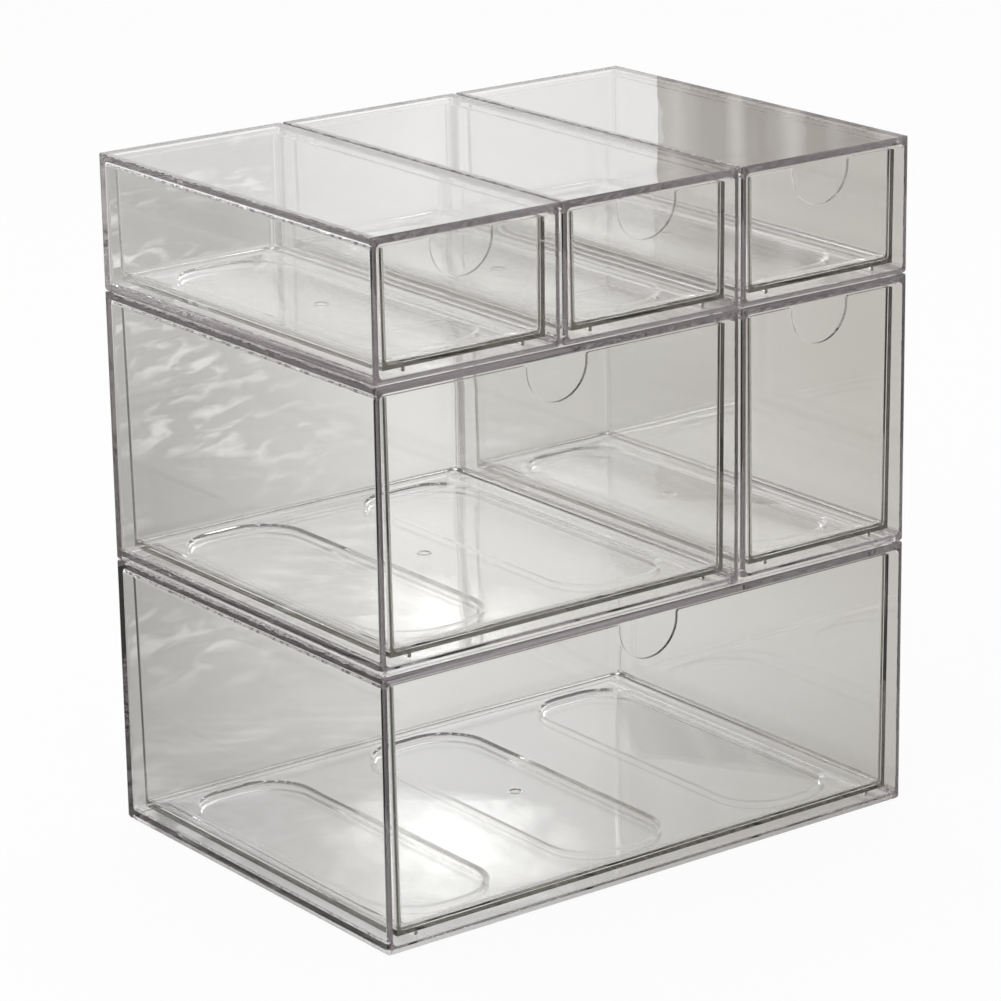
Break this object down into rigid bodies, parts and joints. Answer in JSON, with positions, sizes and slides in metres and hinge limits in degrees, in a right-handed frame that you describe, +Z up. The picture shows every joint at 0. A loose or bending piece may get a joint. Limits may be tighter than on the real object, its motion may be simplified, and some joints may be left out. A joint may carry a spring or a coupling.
{
  "type": "clear stacking drawer organizer",
  "caption": "Clear stacking organizer for make-up: full, two-thirds and one-third width casings in tiers, each with a sliding drawer that has a half-round finger notch.",
  "frame": {"origin": "middle of the footprint, on the surface that the set stands on", "axes": "+Z up, drawers pull out towards -Y, +X to the right seen from the front"},
  "size_m": [0.26, 0.185, 0.2797],
  "materials": {
    "casing": "clear moulded plastic, polished",
    "drawer": "clear moulded plastic, polished"
  },
  "bodies": {
    "bottom_casing": {"bottom_casing": "casing"},
    "bottom_drawer": {"bottom_drawer": "drawer"},
    "middle_wide_casing": {"middle_wide_casing": "casing"},
    "middle_wide_drawer": {"middle_wide_drawer": "drawer"},
    "middle_narrow_casing": {"middle_narrow_casing": "casing"},
    "middle_narrow_drawer": {"middle_narrow_drawer": "drawer"},
    "top_left_casing": {"top_left_casing": "casing"},
    "top_left_drawer": {"top_left_drawer": "drawer"},
    "top_centre_casing": {"top_centre_casing": "casing"},
    "top_centre_drawer": {"top_centre_drawer": "drawer"},
    "top_right_casing": {"top_right_casing": "casing"},
    "top_right_drawer": {"top_right_drawer": "drawer"}
  },
  "joints": [
    {"name": "bottom_drawer_slide", "type": "slide", "parent": "bottom_casing", "child": "bottom_drawer", "axis": [0, -1, 0], "range_m": [0, 0.14]},
    {"name": "middle_wide_drawer_slide", "type": "slide", "parent": "middle_wide_casing", "child": "middle_wide_drawer", "axis": [0, -1, 0], "range_m": [0, 0.14]},
    {"name": "middle_narrow_drawer_slide", "type": "slide", "parent": "middle_narrow_casing", "child": "middle_narrow_drawer", "axis": [0, -1, 0], "range_m": [0, 0.14]},
    {"name": "top_left_drawer_slide", "type": "slide", "parent": "top_left_casing", "child": "top_left_drawer", "axis": [0, -1, 0], "range_m": [0, 0.14]},
    {"name": "top_centre_drawer_slide", "type": "slide", "parent": "top_centre_casing", "child": "top_centre_drawer", "axis": [0, -1, 0], "range_m": [0, 0.14]},
    {"name": "top_right_drawer_slide", "type": "slide", "parent": "top_right_casing", "child": "top_right_drawer", "axis": [0, -1, 0], "range_m": [0, 0.14]},
    {"name": "middle_wide_lift", "type": "slide", "parent": "bottom_casing", "child": "middle_wide_casing", "axis": [0, 0, 1], "range_m": [0, 0.12]},
    {"name": "middle_narrow_lift", "type": "slide", "parent": "bottom_casing", "child": "middle_narrow_casing", "axis": [0, 0, 1], "range_m": [0, 0.12]},
    {"name": "top_left_lift", "type": "slide", "parent": "middle_wide_casing", "child": "top_left_casing", "axis": [0, 0, 1], "range_m": [0, 0.06]},
    {"name": "top_centre_lift", "type": "slide", "parent": "middle_wide_casing", "child": "top_centre_casing", "axis": [0, 0, 1], "range_m": [0, 0.06]},
    {"name": "top_right_lift", "type": "slide", "parent": "middle_narrow_casing", "child": "top_right_casing", "axis": [0, 0, 1], "range_m": [0, 0.06]}
  ]
}
